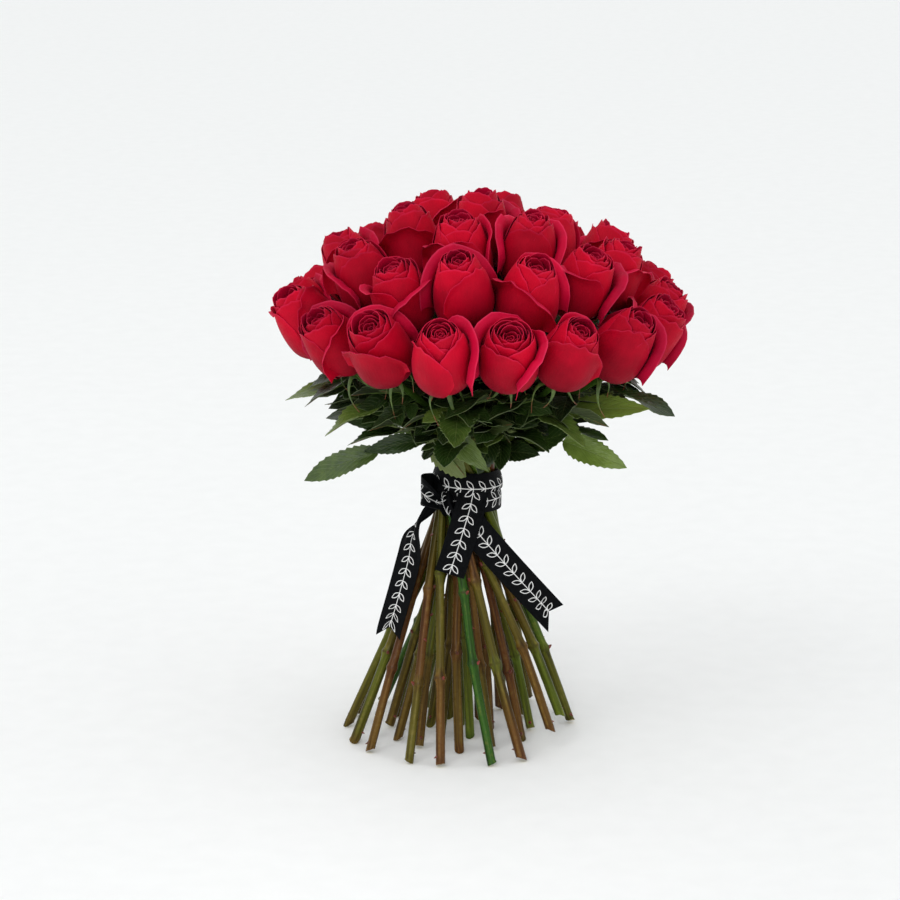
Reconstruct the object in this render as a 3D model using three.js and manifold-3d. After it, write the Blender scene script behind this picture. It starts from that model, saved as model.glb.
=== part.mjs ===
// A hand-tied bunch of three dozen red roses that stands on its own cut stems, with a printed ribbon
// round its neck. Millimetres, +Z up. The origin is the foot of the middle stem, on the surface that
// the bunch stands on, and -Y is the front, where the ribbon's ends hang.
//
// Every rose crosses the neck on its own slant, as a spiral bunch is tied: below the neck the stems
// are straight and fan out to the foot, and above it they bend outward to a dome of blooms.

import * as THREE from "three";
import { mergeVertices } from "three/addons/utils/BufferGeometryUtils.js";
import Module from "manifold-3d";

const wasm = await Module();
wasm.setup();

const { Vector2, Vector3 } = THREE;
const UP = new Vector3(0, 0, 1);
const DEGREE = Math.PI / 180;

// The bunch
const NECK_HEIGHT = 219;
const LEAN = 6; // how far the whole neck stands to the right of the foot
const FAN = 4.8; // how far a stem slants sideways from the neck to the foot, in neck radii
const NECK_TURN = 79 * DEGREE; // how far the spiral turns a stem between the neck and its bloom
const DOME_CENTRE = new Vector3(17, 0, 248);
const DOME_RADIUS = 178; // from there to the middle of a bloom
// Each ring of blooms lies tilt degrees from the top of the dome and looks out by nod degrees.
const RINGS = [
  { name: "middle", count: 1, tilt: 0, nod: 0, neckRadius: 0, turn: 0 },
  { name: "inner", count: 6, tilt: 18, nod: 13, neckRadius: 5.2, turn: 12 },
  { name: "second", count: 12, tilt: 35.5, nod: 26, neckRadius: 12.3, turn: -8 },
  { name: "outer", count: 17, tilt: 53.5, nod: 38, neckRadius: 19.6, turn: 3 },
];
const PAIRED_FROM = 2; // stems of this ring and wider ones are pressed together in pairs
const PAIR_GAP = 5.6; // between the middles of two stems of a pair, at the neck

// Stems
const STEM_SIDES = 5;
const SHORT_STEMS = { 8: 14, 9: 19 }; // which of the outer stems end above the surface, and how high
const NECK_STEM = 3.4; // radius
const FOOT_STEM = 3.9;
const TOP_STEM = 2.7;
const STEM_VARIES = 0.08;
const KNUCKLES = [72, 148]; // heights where a cut-off side shoot has bent the stem
const KNUCKLE_BEND = 1.3;
const KNUCKLE_VARIES = 9;
const BEND_STEPS = [0.3, 0.65]; // of the way from the neck up to the bloom

// Blooms
const BLOOM_MIDDLE = 28; // from a bloom's seat to its middle
const BLOOM_PETALS = 5;
const PETAL_MARKS = [0, 0.45, 0.9]; // leading edge, tip and trailing edge, as shares of a petal
// Each row goes round the bloom once: radius, height, and what its petals add to them.
const BLOOM_ROWS = [
  { r: 5.2, z: 0, step: 0, tip: 0, shift: 0 },
  { r: 22.4, z: 15, step: 1.4, tip: 0, shift: 0 },
  { r: 22.2, z: 35, step: 1.8, tip: 2, shift: 0 },
  { r: 17.2, z: 50, step: 1.8, tip: 6, shift: 0 },
  { r: 12.2, z: 46, step: 1.2, tip: 2, shift: 0.5 },
  { r: 8.6, z: 56, step: 1, tip: 3, shift: 0.5 },
];
const BLOOM_HEART = 51; // height of the bud's tip
const BLOOM_VARIES = 0.04;
const TURN_VARIES = 1.1 * DEGREE;
const TILT_VARIES = 1.2 * DEGREE;
const LOOK_VARIES = 7 * DEGREE; // sideways, of the way that a bloom looks
const REACH_VARIES = 4.5;
const SPIN = 2.4; // from one bloom to the next, so that no two show the same side

// Hips, the swellings under the blooms, and sepals
const HIP = [
  { below: 12, radius: TOP_STEM },
  { below: 5.5, radius: 5.7 },
  { below: 0.3, radius: 4.8 },
];
const SEPALS = 5;
const SEPAL_ROOT = new Vector2(3.2, -3);
const SEPAL_BENT = [SEPAL_ROOT, new Vector2(12, -6), new Vector2(15, -21)]; // hangs, on the outer roses
const SEPAL_STRAIGHT = [SEPAL_ROOT, new Vector2(15, -15)]; // on the crowded ones
const SEPAL_WIDTHS = [1.6, 1.9]; // halves, where it starts and where it bends
const SEPAL_DEPTH = 1.1;
const SEPAL_VARIES = 0.12;

// Leaves
const BLADE = 0.9; // thickness of the end leaflet and its stalk
const SIDE_BLADE = 0.65;
const FOLD = 14 * DEGREE; // how far each half of a blade rises from its rib
const TERMINAL = { length: 58, width: 30, edge: [0.14, 0.34, 0.4, 0.6, 0.66, 0.86] };
const LATERAL = { length: 34, width: 20, edge: [0.18, 0.46, 0.54] };
const TOOTH = 0.13; // depth of a notch, as a share of the half width
const LATERAL_ANGLE = 53 * DEGREE;
const STALK = 1.1; // half its width
const FORK = 13; // from the side leaflets to the end one
const ROOT = 0.35; // how far a side leaflet is sunk in the stalk's edge
const SIDE_DROOP = 0.7; // of the leaf's own droop
const LEAF_SEAM = 14; // turns the order of low and high leaves, so that its gap lies at the back
const LOW_LEAF = { height: 262, stalk: 26, rise: 18, droop: 38 };
const HIGH_LEAF = { height: 297, stalk: 22, rise: 0, droop: 26 };
const LEAF_VARIES = { height: 5, turn: 3.4 * DEGREE, rise: 5 * DEGREE };

// Binding twine and ribbon
const TWINE_RADIUS = 24.8; // to the middle of the cord
const TWINE = 0.9; // radius of the cord
const TWINE_TURNS = 2;
const WRAP_BOTTOM = 201;
const WRAP_STEP = 214; // lower edge of the turns that lie outside
const WRAP_TOP = 236;
const WRAP_INSIDE = 26.3;
const WRAP_UNDER = 27.2;
const WRAP_OUTSIDE = 28.6;
const WRAP_FLARE = 1.7; // how much wider it is at the top
const WRAP_SLANT = 5; // how much higher the outer turns' lower edge runs on one side
const RIBBON_WIDTH = 25;
const RIBBON = 0.8; // thickness
const GATHER = [0.36, 0.8]; // how much of its width is left at the first places of a tail
const TAIL_NOTCH = 9;
const KNOT = { angle: 262 * DEGREE, reach: 33.4, height: 210, half: new Vector3(7, 4.2, 6) };
const LOOP = { tip: 200 * DEGREE, inside: 30.5, bulge: 9, bottom: 207 };

const MERGE = 0.2; // corners this near each other become one where solids join

const RED = { color: 0xb40a22, roughness: 0.62, metalness: 0 };
const GREEN = { color: 0x4b5c1e, roughness: 0.55, metalness: 0 };
const BLACK = { color: 0x101114, roughness: 0.7, metalness: 0 };
const STRAW = { color: 0xb79a62, roughness: 0.85, metalness: 0 };

// A draw from -1 to 1 that is the same each time for the same rose and purpose.
function draw(rose, purpose) {
  const wave = Math.sin(rose * 12.9898 + purpose * 78.233 + 4.1) * 43758.5453;
  return 2 * (wave - Math.floor(wave)) - 1;
}

function polar(radius, angle, z = 0) {
  return new Vector3(radius * Math.cos(angle), radius * Math.sin(angle), z);
}

// Solids

function solidOf(geometry) {
  const bare = geometry.index ? geometry.toNonIndexed() : geometry.clone();
  for (const name of ["normal", "uv"]) bare.deleteAttribute(name);
  const merged = mergeVertices(bare, 1e-4);
  return new wasm.Manifold(
    new wasm.Mesh({
      numProp: 3,
      vertProperties: merged.attributes.position.array,
      triVerts: new Uint32Array(merged.index.array),
    }),
  );
}

function solidFrom(points, triangles) {
  const geometry = new THREE.BufferGeometry().setFromPoints(points);
  geometry.setIndex(triangles.flat());
  const solid = solidOf(geometry);
  if (solid.volume() > 0) return solid;
  return solidFrom(points, triangles.map(([a, b, c]) => [a, c, b]));
}

function joined(solids) {
  return wasm.Manifold.union(solids).simplify(MERGE);
}

function meshOf(solid, name, finish) {
  const { vertProperties, triVerts } = solid.getMesh();
  const geometry = new THREE.BufferGeometry()
    .setAttribute("position", new THREE.BufferAttribute(vertProperties, 3))
    .setIndex(new THREE.BufferAttribute(triVerts, 1));
  const flat = geometry.toNonIndexed();
  flat.computeVertexNormals();
  const mesh = new THREE.Mesh(flat, new THREE.MeshStandardMaterial(finish));
  mesh.name = name;
  return mesh;
}

// A stem's bar along points, cut level where it starts. Its corners start out towards reference.
function bar(points, radii, reference) {
  const rings = points.map((point, i) => {
    const before = points[Math.max(0, i - 1)];
    const after = points[Math.min(points.length - 1, i + 1)];
    const along = after.clone().sub(before).normalize();
    const across = reference.clone().addScaledVector(along, -reference.dot(along)).normalize();
    const other = along.clone().cross(across);
    return Array.from({ length: STEM_SIDES }, (_, k) => {
      const angle = (2 * Math.PI * k) / STEM_SIDES;
      const corner = point
        .clone()
        .addScaledVector(across, radii[i] * Math.cos(angle))
        .addScaledVector(other, radii[i] * Math.sin(angle));
      if (i === 0) corner.addScaledVector(along, (point.z - corner.z) / along.z);
      return corner;
    });
  });
  const triangles = [];
  for (let i = 0; i + 1 < rings.length; i += 1) {
    for (let k = 0; k < STEM_SIDES; k += 1) {
      const a = i * STEM_SIDES + k;
      const b = i * STEM_SIDES + ((k + 1) % STEM_SIDES);
      triangles.push([a, b, b + STEM_SIDES], [a, b + STEM_SIDES, a + STEM_SIDES]);
    }
  }
  const last = (rings.length - 1) * STEM_SIDES;
  for (let k = 1; k + 1 < STEM_SIDES; k += 1) {
    triangles.push([0, k + 1, k], [last, last + k, last + k + 1]);
  }
  return solidFrom(rings.flat(), triangles);
}

// Roses: where each one crosses the neck, where it looks, and which stems are pressed together

function neckAngles(ring, paired) {
  if (!paired) return Array.from({ length: ring.count }, (_, j) => (2 * Math.PI * j) / ring.count);
  const pairAngle = PAIR_GAP / ring.neckRadius;
  const pairs = Math.floor(ring.count / 2);
  const groups = Math.ceil(ring.count / 2);
  const between = (2 * Math.PI - pairs * pairAngle) / groups;
  const angles = [0];
  for (let j = 1; j < ring.count; j += 1) {
    angles.push(angles[j - 1] + (j % 2 ? pairAngle : between));
  }
  return angles;
}

function rosesOf(ring, ringNumber, firstRose) {
  const neck = neckAngles(ring, ringNumber >= PAIRED_FROM);
  return neck.map((neckAngle, j) => {
    const rose = firstRose + j;
    const turn = ring.turn * DEGREE;
    const even = (2 * Math.PI * j) / ring.count;
    const angle = even + turn + TURN_VARIES * draw(rose, 1);
    const tilt = ring.tilt ? ring.tilt * DEGREE + TILT_VARIES * draw(rose, 2) : 0;
    const middle = polar(Math.sin(tilt), angle, Math.cos(tilt))
      .multiplyScalar(DOME_RADIUS + REACH_VARIES * draw(rose, 4))
      .add(DOME_CENTRE);
    const nod = ring.nod * DEGREE;
    const axis = polar(Math.sin(nod), angle + LOOK_VARIES * draw(rose, 6), Math.cos(nod));
    const size = 1 + BLOOM_VARIES * draw(rose, 3);
    return {
      rose,
      ring: ringNumber,
      place: j,
      axis,
      size,
      seat: middle.addScaledVector(axis, -BLOOM_MIDDLE * size),
      neck: polar(ring.neckRadius, neckAngle + turn + NECK_TURN),
      foot: ringNumber === RINGS.length - 1 ? (SHORT_STEMS[j] ?? 0) : 0,
    };
  });
}

// The middle line of a stem. Below the neck it runs straight along its slant, and above it bends to
// the seat of its bloom.
function stemLine(rose) {
  const slant = new Vector3(-rose.neck.y, rose.neck.x, 0).multiplyScalar(FAN);
  const end = rose.seat.clone().addScaledVector(rose.axis, -HIP[0].below);
  const rise = end.z - NECK_HEIGHT;
  const straight = (z) =>
    rose.neck
      .clone()
      .addScaledVector(slant, 1 - z / NECK_HEIGHT)
      .setZ(z)
      .addScaledVector(new Vector3(LEAN, 0, 0), z / NECK_HEIGHT);
  const bend = end.clone().sub(straight(end.z));
  const below = KNUCKLES.map((height, k) => {
    const aside = polar(KNUCKLE_BEND, Math.PI * draw(rose.rose, 20 + k));
    return straight(height + KNUCKLE_VARIES * draw(rose.rose, 10 + k)).add(aside);
  });
  const above = BEND_STEPS.map((share) =>
    straight(NECK_HEIGHT + share * rise).addScaledVector(bend, share * share),
  );
  return [straight(rose.foot), ...below, straight(NECK_HEIGHT), ...above, end];
}

function stem(rose) {
  const line = stemLine(rose);
  const stout = 1 + STEM_VARIES * draw(rose.rose, 5);
  const radii = line.map((point) =>
    point.z < NECK_HEIGHT
      ? THREE.MathUtils.lerp(FOOT_STEM * stout, NECK_STEM, point.z / NECK_HEIGHT)
      : THREE.MathUtils.mapLinear(point.z, NECK_HEIGHT, line.at(-1).z, NECK_STEM, TOP_STEM),
  );
  for (const { below, radius } of HIP.slice(1)) {
    line.push(rose.seat.clone().addScaledVector(rose.axis, -below));
    radii.push(radius);
  }
  const reference = rose.ring ? new Vector3(-rose.neck.y, rose.neck.x, 0) : new Vector3(1, 0, 0);
  return bar(line, radii, reference.normalize());
}

// A frame that stands on a bloom's seat and looks along its axis.
function seatFrame(rose, spin = 0) {
  const turn = new THREE.Quaternion().setFromUnitVectors(UP, rose.axis);
  turn.multiply(new THREE.Quaternion().setFromAxisAngle(UP, spin));
  return new THREE.Matrix4().compose(rose.seat, turn, new Vector3(1, 1, 1));
}

// Blooms

// One closed surface whose rows step in and out round the bloom, so that each petal's trailing edge
// stands over the next one's leading edge.
function bloom(rose) {
  const columns = BLOOM_PETALS * PETAL_MARKS.length;
  const profile = [
    new Vector2(0, 0),
    ...BLOOM_ROWS.map(({ r, z }) => new Vector2(r, z)),
    new Vector2(0, BLOOM_HEART),
  ];
  const geometry = new THREE.LatheGeometry(profile, columns);
  const position = geometry.attributes.position;
  for (let column = 0; column <= columns; column += 1) {
    const petal = Math.floor(column / PETAL_MARKS.length);
    const mark = PETAL_MARKS[column % PETAL_MARKS.length];
    const angle = (2 * Math.PI * (petal + mark)) / BLOOM_PETALS;
    profile.forEach((point, row) => {
      const shape = BLOOM_ROWS[row - 1];
      let { x: radius, y: height } = point;
      if (shape) {
        const share = (petal + mark + shape.shift) % 1;
        const lift = 1 - Math.abs(share - 0.45) / 0.55;
        radius += shape.step * 2 * (share - 0.45);
        height += shape.tip * (lift - 0.4);
      }
      const place = polar(radius * rose.size, angle, height * rose.size);
      position.setXYZ(column * profile.length + row, place.x, place.y, place.z);
    });
  }
  geometry.applyMatrix4(seatFrame(rose, SPIN * rose.rose));
  return solidOf(geometry);
}

// Sepals

// A long narrow sepal, three-sided, that reaches out along path.
function sepal(path, angle, reach) {
  const across = polar(1, angle + Math.PI / 2);
  const places = path.map(({ x, y }) => polar(x * reach, angle, y));
  const tip = places.pop();
  const corners = places.flatMap((point, i) => [
    point.clone().addScaledVector(across, SEPAL_WIDTHS[i]),
    point.clone().addScaledVector(across, -SEPAL_WIDTHS[i]),
    point.clone().addScaledVector(UP, -SEPAL_DEPTH).addScaledVector(polar(1, angle), -SEPAL_DEPTH),
  ]);
  const last = corners.length - 3;
  const triangles = [[0, 1, 2]];
  for (let k = 0; k < 3; k += 1) {
    const next = (k + 1) % 3;
    if (last) triangles.push([k, k + 3, next + 3], [k, next + 3, next]);
    triangles.push([last + k, last + 3, last + next]);
  }
  return solidFrom([...corners, tip], triangles);
}

function sepalsOf(rose) {
  const frame = seatFrame(rose).elements;
  const path = rose.ring === RINGS.length - 1 ? SEPAL_BENT : SEPAL_STRAIGHT;
  return Array.from({ length: SEPALS }, (_, k) => {
    const angle = (2 * Math.PI * (k + SEPAL_VARIES * draw(rose.rose, 30 + k))) / SEPALS;
    return sepal(path, angle, 1 + SEPAL_VARIES * draw(rose.rose, 40 + k)).transform(frame);
  });
}

// Leaves

// The middle line of a leaf that sets out from base along heading and arches down by droop on its
// way to reach whole: at each reach, a place and the way that the upper face looks there.
function arch(base, heading, normal, whole, droop) {
  return (reach) => {
    const lean = (droop * reach) / whole;
    const place = base
      .clone()
      .addScaledVector(heading, reach * Math.cos(lean / 2)) // a chord leans half as far as its arc's end
      .addScaledVector(normal, -reach * Math.sin(lean / 2));
    const face = normal.clone().multiplyScalar(Math.cos(lean)).addScaledVector(heading, Math.sin(lean));
    return { place, face };
  };
}

// A toothed blade on its stalk, folded along its rib.
function leaflet(base, heading, normal, { length, width, edge }, stalk, thickness, droop) {
  const whole = stalk + length;
  const side = heading.clone().cross(normal);
  const at = arch(base, heading, normal, whole, droop);
  const blade = edge.map((share, k) => {
    const notch = k % 2 === 0 && k > 0 ? TOOTH : 0;
    const swell = Math.sin(Math.PI * share ** 0.8) ** 0.75;
    return { reach: stalk + length * share, half: (width / 2) * swell * (1 - notch) };
  });
  const bends = stalk ? [stalk - FORK, stalk] : [];
  const edges = stalk ? [STALK, ...bends] : [];
  const rim = [...edges.map((reach) => ({ reach, half: STALK })), ...blade];
  const rib = [0, ...bends, stalk + length * 0.4, stalk + length * 0.72, whole];
  const rimSide = (hand) =>
    rim.map(({ reach, half }) => {
      const { place, face } = at(reach);
      return place
        .addScaledVector(side, hand * half * Math.cos(FOLD))
        .addScaledVector(face, half * Math.sin(FOLD));
    });
  const upper = [...rib.map((reach) => at(reach).place), ...rimSide(1), ...rimSide(-1)];
  const reaches = [...rib, ...rim.map(({ reach }) => reach), ...rim.map(({ reach }) => reach)];
  const lower = upper.map((point, i) => point.clone().addScaledVector(at(reaches[i]).face, -thickness));
  const count = upper.length;
  const ribRow = rib.map((_, k) => k);
  const triangles = [];
  for (const hand of [0, 1]) {
    const first = rib.length + hand * rim.length;
    const border = [0, ...rim.map((_, k) => first + k), rib.length - 1];
    for (const [a, b, c] of between(border, ribRow, reaches)) {
      const top = hand ? [a, c, b] : [a, b, c];
      triangles.push(top, [top[0] + count, top[2] + count, top[1] + count]);
    }
    for (let k = 0; k + 1 < border.length; k += 1) {
      const [a, b] = hand ? [border[k], border[k + 1]] : [border[k + 1], border[k]];
      triangles.push([a, b, b + count], [a, b + count, a + count]);
    }
  }
  return solidFrom([...upper, ...lower], triangles);
}

// Triangles that fill the strip between two rows of points that share their first and last point.
function between(outer, inner, reaches) {
  const triangles = [];
  let i = 0;
  let j = 0;
  while (i + 1 < outer.length || j + 1 < inner.length) {
    const outerNext = i + 1 < outer.length ? reaches[outer[i + 1]] : Infinity;
    const innerNext = j + 1 < inner.length ? reaches[inner[j + 1]] : Infinity;
    const stepOuter = outerNext <= innerNext;
    const next = stepOuter ? outer[i + 1] : inner[j + 1];
    if (next !== outer[i] && next !== inner[j] && outer[i] !== inner[j]) {
      triangles.push([outer[i], next, inner[j]]);
    }
    if (stepOuter) i += 1;
    else j += 1;
  }
  return triangles;
}

// A leaf of three leaflets on its stalk, which grows out of the stem at the height that kind gives.
function leaf(rose, kind) {
  const line = new THREE.CatmullRomCurve3(stemLine(rose)).getPoints(80);
  const height = kind.height + LEAF_VARIES.height * draw(rose.rose, 50);
  const root = line.find((point) => point.z > height);
  const outward = Math.atan2(root.y, root.x - LEAN) + LEAF_VARIES.turn * draw(rose.rose, 51);
  const rise = kind.rise * DEGREE + LEAF_VARIES.rise * draw(rose.rose, 52);
  const heading = polar(Math.cos(rise), outward, Math.sin(rise));
  const normal = polar(-Math.sin(rise), outward, Math.cos(rise));
  const side = heading.clone().cross(normal);
  const droop = kind.droop * DEGREE;
  const fork = arch(root, heading, normal, kind.stalk + TERMINAL.length, droop)(kind.stalk - FORK);
  fork.place.addScaledVector(fork.face, STALK * Math.sin(FOLD) - (BLADE - SIDE_BLADE) / 2);
  const ahead = fork.face.clone().cross(side);
  const laterals = [1, -1].map((hand) => {
    const away = ahead
      .clone()
      .multiplyScalar(Math.cos(LATERAL_ANGLE))
      .addScaledVector(side, hand * Math.sin(LATERAL_ANGLE));
    const start = fork.place.clone().addScaledVector(side, hand * (STALK * Math.cos(FOLD) - ROOT));
    return leaflet(start, away, fork.face, LATERAL, 0, SIDE_BLADE, droop * SIDE_DROOP);
  });
  return [leaflet(root, heading, normal, TERMINAL, kind.stalk, BLADE, droop), ...laterals];
}

function leavesOf(rose) {
  const { count } = RINGS[rose.ring];
  const turn = (rose.place + LEAF_SEAM) % count;
  if (rose.ring !== RINGS.length - 1 || turn === count - 1) return [];
  return leaf(rose, turn % 2 ? HIGH_LEAF : LOW_LEAF);
}

// Ribbon and twine

// The hidden cord that ties the stems: its turns side by side, with a groove between them.
function twine() {
  const bottom = NECK_HEIGHT - TWINE * TWINE_TURNS;
  const groove = TWINE_RADIUS + TWINE / 3;
  const outside = [new Vector2(groove, bottom)];
  for (let turn = 0; turn < TWINE_TURNS; turn += 1) {
    const middle = bottom + (2 * turn + 1) * TWINE;
    outside.push(new Vector2(TWINE_RADIUS + TWINE, middle), new Vector2(groove, middle + TWINE));
  }
  const inside = [NECK_HEIGHT + TWINE * TWINE_TURNS, bottom].map(
    (z) => new Vector2(TWINE_RADIUS - TWINE, z),
  );
  const geometry = new THREE.LatheGeometry([...outside, ...inside, outside[0].clone()], 16);
  return solidOf(geometry.rotateX(Math.PI / 2).translate(LEAN, 0, 0));
}

// The ribbon's turns round the neck. The outer ones stand proud of the first below their lower edge,
// which slants.
function wrap() {
  const waist = (WRAP_BOTTOM + WRAP_TOP) / 2;
  const profile = [
    new Vector2(WRAP_INSIDE, WRAP_BOTTOM),
    new Vector2(WRAP_UNDER, WRAP_BOTTOM),
    new Vector2(WRAP_UNDER, WRAP_STEP),
    new Vector2(WRAP_OUTSIDE, WRAP_STEP),
    new Vector2(WRAP_OUTSIDE + WRAP_FLARE, WRAP_TOP),
    new Vector2(WRAP_INSIDE + WRAP_FLARE, WRAP_TOP),
    new Vector2(WRAP_INSIDE, waist),
    new Vector2(WRAP_INSIDE, WRAP_BOTTOM),
  ];
  const geometry = new THREE.LatheGeometry(profile, 24).rotateX(Math.PI / 2);
  const position = geometry.attributes.position;
  for (let i = 0; i < position.count; i += 1) {
    const z = position.getZ(i);
    if (z === WRAP_STEP) position.setZ(i, z + (WRAP_SLANT * position.getX(i)) / WRAP_OUTSIDE);
  }
  return solidOf(geometry.translate(LEAN, 0, 0));
}

// A flat length of ribbon along points, with its width along the sides given. It is gathered where it
// starts, and its end is cut to a swallow tail, notch deep, or straight across where notch is 0.
function ribbon(points, sides, notch) {
  const rows = points.map((point, i) => {
    const along = points[Math.min(points.length - 1, i + 1)]
      .clone()
      .sub(points[Math.max(0, i - 1)])
      .normalize();
    const across = sides[i].clone().addScaledVector(along, -sides[i].dot(along)).normalize();
    const face = across.clone().cross(along).multiplyScalar(RIBBON / 2);
    const middle = point.clone().addScaledVector(along, i === points.length - 1 ? -notch : 0);
    const half = (RIBBON_WIDTH / 2) * (GATHER[i] ?? 1);
    const edges = [-half, half].map((reach) => point.clone().addScaledVector(across, reach));
    const front = [edges[0], middle, edges[1]];
    return [...front.map((p) => p.clone().add(face)), ...front.map((p) => p.clone().sub(face))];
  });
  const ring = [0, 1, 2, 5, 4, 3]; // once round a section of six points
  const cap = [[0, 3, 4], [0, 4, 1], [1, 4, 5], [1, 5, 2]];
  const triangles = [];
  for (let i = 0; i + 1 < rows.length; i += 1) {
    ring.forEach((corner, k) => {
      const a = i * 6 + corner;
      const b = i * 6 + ring[(k + 1) % 6];
      triangles.push([a, b, b + 6], [a, b + 6, a + 6]);
    });
  }
  const last = (rows.length - 1) * 6;
  for (const [a, b, c] of cap) triangles.push([a, b, c], [last + a, last + c, last + b]);
  return solidFrom(rows.flat(), triangles);
}

// Each hanging end: a few points down its middle and the way its width lies there.
const TAILS = {
  ribbon_tail_centre: {
    notch: 0,
    points: [
      [3, -33, 203.4],
      [4, -35, 193],
      [1, -36.5, 180],
      [-4, -40, 165],
      [-9, -45, 149.5],
    ],
    sides: [[1, 0, 0.2]],
  },
  ribbon_tail_right: {
    notch: TAIL_NOTCH,
    points: [
      [12.8, -32, 206],
      [19, -31.5, 198],
      [31, -33, 180],
      [47, -34.5, 157],
      [63, -33, 133],
      [79, -30, 111],
    ],
    sides: [[0.75, 0.1, 0.62]],
  },
  ribbon_tail_left: {
    notch: TAIL_NOTCH,
    points: [
      [-20.5, -9.7, 205.8],
      [-26, -13, 190],
      [-33, -18, 172],
      [-42, -24, 145],
      [-51, -32, 116],
      [-59, -39, 91],
    ],
    sides: [
      [0.35, -0.94, 0],
      [0.45, -0.89, 0],
      [0.6, -0.8, 0],
      [0.7, -0.7, 0],
    ],
  },
};

function tail({ points, sides, notch }) {
  const places = points.map((p) => new Vector3(...p));
  const widths = places.map((_, i) => new Vector3(...sides[Math.min(i, sides.length - 1)]));
  return ribbon(places, widths, notch);
}

// The knot with its one small loop, which lies along the wrap to the left, open above and below.
function bow() {
  const outline = (inset, from) => {
    const shares = Array.from({ length: 6 }, (_, k) => THREE.MathUtils.lerp(from, 1, k / 5));
    const side = (reach) => (share) => {
      const angle = THREE.MathUtils.lerp(KNOT.angle, LOOP.tip + inset / LOOP.inside, share);
      return new Vector2(reach(share) * Math.cos(angle), reach(share) * Math.sin(angle));
    };
    const near = side(() => LOOP.inside + inset);
    const far = side((share) => {
      const swell = Math.sin(0.8 * Math.PI * share ** 1.3);
      return LOOP.inside + 2 * RIBBON - inset + LOOP.bulge * swell;
    });
    return [...shares.map(near), ...shares.reverse().map(far)];
  };
  const shape = new THREE.Shape(outline(0, 0));
  shape.holes.push(new THREE.Path(outline(RIBBON, 0.25)));
  const band = new THREE.ExtrudeGeometry(shape, { depth: RIBBON_WIDTH, bevelEnabled: false });
  band.translate(LEAN, 0, LOOP.bottom);
  const place = polar(KNOT.reach, KNOT.angle, KNOT.height);
  const knot = new THREE.SphereGeometry(1, 8, 6).scale(...KNOT.half);
  knot.translate(place.x + LEAN, place.y, place.z);
  return joined([solidOf(band), solidOf(knot)]);
}

// The bunch, piece by piece

const roses = RINGS.reduce((all, ring, number) => [...all, ...rosesOf(ring, number, all.length)], []);
const twoDigits = (number) => String(number).padStart(2, "0");

// The stems of the middle and the inner ring are one group, and those of wider rings go in pairs.
const groups = new Map();
for (const rose of roses) {
  const inPair = rose.ring >= PAIRED_FROM;
  const number = twoDigits(Math.floor(rose.place / 2) + 1);
  const name = inPair ? `stems_${RINGS[rose.ring].name}_${number}` : "stems_middle";
  groups.set(name, [...(groups.get(name) ?? []), rose]);
}

const bunch = new THREE.Group();
bunch.name = "bunch_of_roses";
for (const [name, members] of groups) {
  const solids = members.flatMap((rose) => [stem(rose), ...sepalsOf(rose), ...leavesOf(rose)]);
  bunch.add(meshOf(joined(solids), name, GREEN));
}
for (const rose of roses) {
  const name = `bloom_${RINGS[rose.ring].name}_${twoDigits(rose.place + 1)}`;
  bunch.add(meshOf(bloom(rose), name, RED));
}
bunch.add(meshOf(twine(), "binding_twine", STRAW));
bunch.add(meshOf(wrap(), "ribbon_wrap", BLACK));
bunch.add(meshOf(bow(), "ribbon_bow", BLACK));
for (const [name, ends] of Object.entries(TAILS)) bunch.add(meshOf(tail(ends), name, BLACK));

export default bunch;
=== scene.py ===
"""The looks of a hand-tied bunch of three dozen red roses with a printed ribbon round its neck.

Plant and ribbon sizes are in millimetres, as a florist would give them; laid() turns them to metres.
The origin is the foot of the middle stem and -Y is the front, where the ribbon's ends hang.

Almost every piece is a thin blade or a tube: a grid is added once, repeated in its mesh, and each
repeat is laid along its own stem, leaf, petal or ribbon by a function of the way across it (-1 to 1)
and the way along it (0 to 1).
"""

import math
from types import SimpleNamespace

import bpy
import numpy as np
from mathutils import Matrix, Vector


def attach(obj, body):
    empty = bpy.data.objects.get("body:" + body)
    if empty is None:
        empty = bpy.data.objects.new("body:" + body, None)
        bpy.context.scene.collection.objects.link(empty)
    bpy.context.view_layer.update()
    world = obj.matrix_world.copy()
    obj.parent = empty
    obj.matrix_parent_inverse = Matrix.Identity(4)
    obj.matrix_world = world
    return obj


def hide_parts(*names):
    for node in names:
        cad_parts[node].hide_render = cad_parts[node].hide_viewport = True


MM = 0.001
DEGREE = math.pi / 180
UP = np.array([0.0, 0.0, 1.0])

# ------------------------------------------------------------------------------ the bunch's layout
NECK_HEIGHT = 219
LEAN = 6  # how far the neck stands to the right of the foot
FAN = 4.8  # how far a stem slants sideways from the neck to the foot, in neck radii
NECK_TURN = 79 * DEGREE
DOME_CENTRE = np.array([17.0, 0.0, 248.0])
DOME_RADIUS = 178  # from there to the middle of a bloom
BLOOM_MIDDLE = 28
RINGS = (  # each lies tilt degrees from the top of the dome, and its blooms look out by nod degrees
    SimpleNamespace(name="middle", count=1, tilt=0, nod=0, neck=0, turn=0),
    SimpleNamespace(name="inner", count=6, tilt=18, nod=13, neck=5.2, turn=12),
    SimpleNamespace(name="second", count=12, tilt=35.5, nod=26, neck=12.3, turn=-8),
    SimpleNamespace(name="outer", count=17, tilt=53.5, nod=38, neck=19.6, turn=3),
)
OUTER = 3
PAIRED_FROM = 2
PAIR_GAP = 5.6
SHORT_STEMS = {8: 14, 9: 19}
SIZE_VARIES = 0.04
TURN_VARIES = 1.1 * DEGREE
TILT_VARIES = 1.2 * DEGREE
LOOK_VARIES = 7 * DEGREE
REACH_VARIES = 4.5
SPIN = 2.4

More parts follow.
